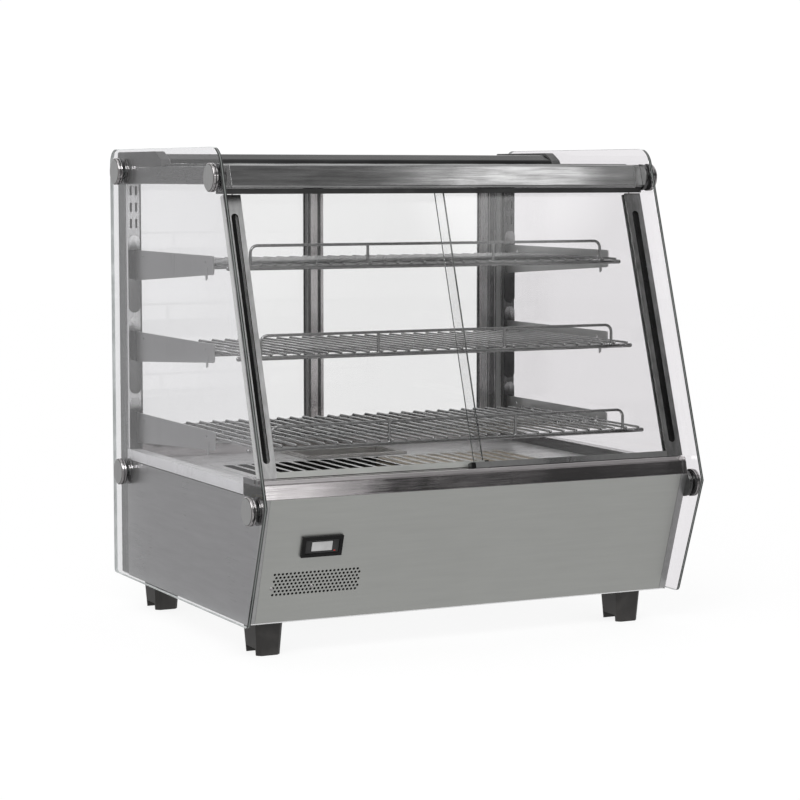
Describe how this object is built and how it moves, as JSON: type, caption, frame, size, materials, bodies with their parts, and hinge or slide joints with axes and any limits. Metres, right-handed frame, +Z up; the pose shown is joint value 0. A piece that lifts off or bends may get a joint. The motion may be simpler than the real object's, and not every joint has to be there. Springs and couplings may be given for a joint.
{
  "type": "hot food display case",
  "caption": "Countertop heated display case: steel base with warm air deck, slanted glass front and rear with sliding doors, clear side glasses on round studs, wire shelves on brackets.",
  "frame": {"origin": "on the counter under the middle of the case, at the centre of its outline", "axes": "+X to the right across the width, +Y from the customer's side to the server's side, +Z up"},
  "size_m": [0.678, 0.565, 0.6655],
  "materials": {
    "brushed": "brushed, horizontal grain",
    "sheet": "satin sheet",
    "polished": "polished",
    "wire": "electropolished wire",
    "dark_steel": "dark brushed",
    "duct_black": "matt black, heat resistant",
    "baffle_beige": "satin",
    "element": "oxidised sheath",
    "motor": "satin",
    "insulation": "fibre blanket",
    "black_plastic": "fine grain",
    "gloss_black": "glossy",
    "rubber": "matt",
    "white_plastic": "fine grain",
    "rocker_red": "translucent gloss",
    "rocker_green": "translucent gloss",
    "glass": "clear tempered, polished edges",
    "lamp": "frosted tube",
    "display": "liquid crystal window",
    "door_frame": "satin anodised",
    "foot": "moulded"
  },
  "bodies": {
    "case": {"base_sides": "brushed", "front_panel": "brushed", "bottom_plate": "sheet", "rear_panel": "sheet", "side_ledges": "brushed", "front_sill": "brushed", "rear_sill": "sheet", "deck_plate": "sheet", "air_grille": "sheet", "air_duct": "duct_black", "heat_baffle": "baffle_beige", "heating_element": "element", "fan_motor": "motor", "insulation": "insulation", "thermostat_body": "white_plastic", "switch_frames": "black_plastic", "terminal_block": "white_plastic", "wiring_harness": "rubber", "cable_gland": "black_plastic", "feet": "foot", "case_screws": "polished", "rear_posts": "brushed", "shelf_standards": "polished", "header_rail": "dark_steel", "header_end_caps": "dark_steel", "header_track": "black_plastic", "top_side_bars": "brushed", "top_glass": "glass", "rear_header": "dark_steel", "rear_header_caps": "gloss_black", "rear_top_track": "black_plastic", "lamp_tube": "lamp", "side_glass_left": "glass", "side_glass_right": "glass", "stud_caps": "polished", "stud_washers": "rubber", "stud_spacers": "polished", "stud_bolts": "polished", "brackets_lower": "brushed", "brackets_middle": "brushed", "brackets_upper": "brushed", "shelf_lower": "wire", "shelf_middle": "wire", "shelf_upper": "wire", "shelf_guards": "wire", "thermometer_bezel": "gloss_black", "thermometer_display": "display"},
    "front_door_left": {"front_door_left_glass": "glass", "front_door_left_frame": "door_frame"},
    "front_door_right": {"front_door_right_glass": "glass", "front_door_right_frame": "door_frame"},
    "rear_door_left": {"rear_door_left_glass": "glass", "rear_door_left_frame": "door_frame"},
    "rear_door_right": {"rear_door_right_glass": "glass", "rear_door_right_frame": "door_frame"},
    "water_pan": {"water_pan": "sheet"},
    "thermostat_knob": {"thermostat_knob": "black_plastic"},
    "power_rocker": {"power_rocker": "rocker_red"},
    "light_rocker": {"light_rocker": "rocker_green"},
    "fan_wheel": {"fan_wheel": "motor"}
  },
  "joints": [
    {"name": "front_door_left_slide", "type": "slide", "parent": "case", "child": "front_door_left", "axis": [1, 0, 0], "range_m": [0, 0.298]},
    {"name": "front_door_right_slide", "type": "slide", "parent": "case", "child": "front_door_right", "axis": [-1, 0, 0], "range_m": [0, 0.305]},
    {"name": "rear_door_left_slide", "type": "slide", "parent": "case", "child": "rear_door_left", "axis": [1, 0, 0], "range_m": [0, 0.295]},
    {"name": "rear_door_right_slide", "type": "slide", "parent": "case", "child": "rear_door_right", "axis": [-1, 0, 0], "range_m": [0, 0.265]},
    {"name": "water_pan_lift", "type": "slide", "parent": "case", "child": "water_pan", "axis": [0, 0, 1], "range_m": [0, 0.035]},
    {"name": "thermostat_turn", "type": "hinge", "parent": "case", "child": "thermostat_knob", "pos_m": [0.15, 0.262, 0.13], "axis": [0, 1, 0], "range_deg": [0, 300]},
    {"name": "power_rock", "type": "hinge", "parent": "case", "child": "power_rocker", "pos_m": [0.07, 0.255, 0.13], "axis": [1, 0, 0], "range_deg": [0, 14]},
    {"name": "light_rock", "type": "hinge", "parent": "case", "child": "light_rocker", "pos_m": [0.105, 0.255, 0.13], "axis": [1, 0, 0], "range_deg": [0, 14]},
    {"name": "fan_spin", "type": "hinge", "parent": "case", "child": "fan_wheel", "pos_m": [-0.12, 0.053, 0.147], "axis": [0, 0, 1], "continuous": true}
  ]
}
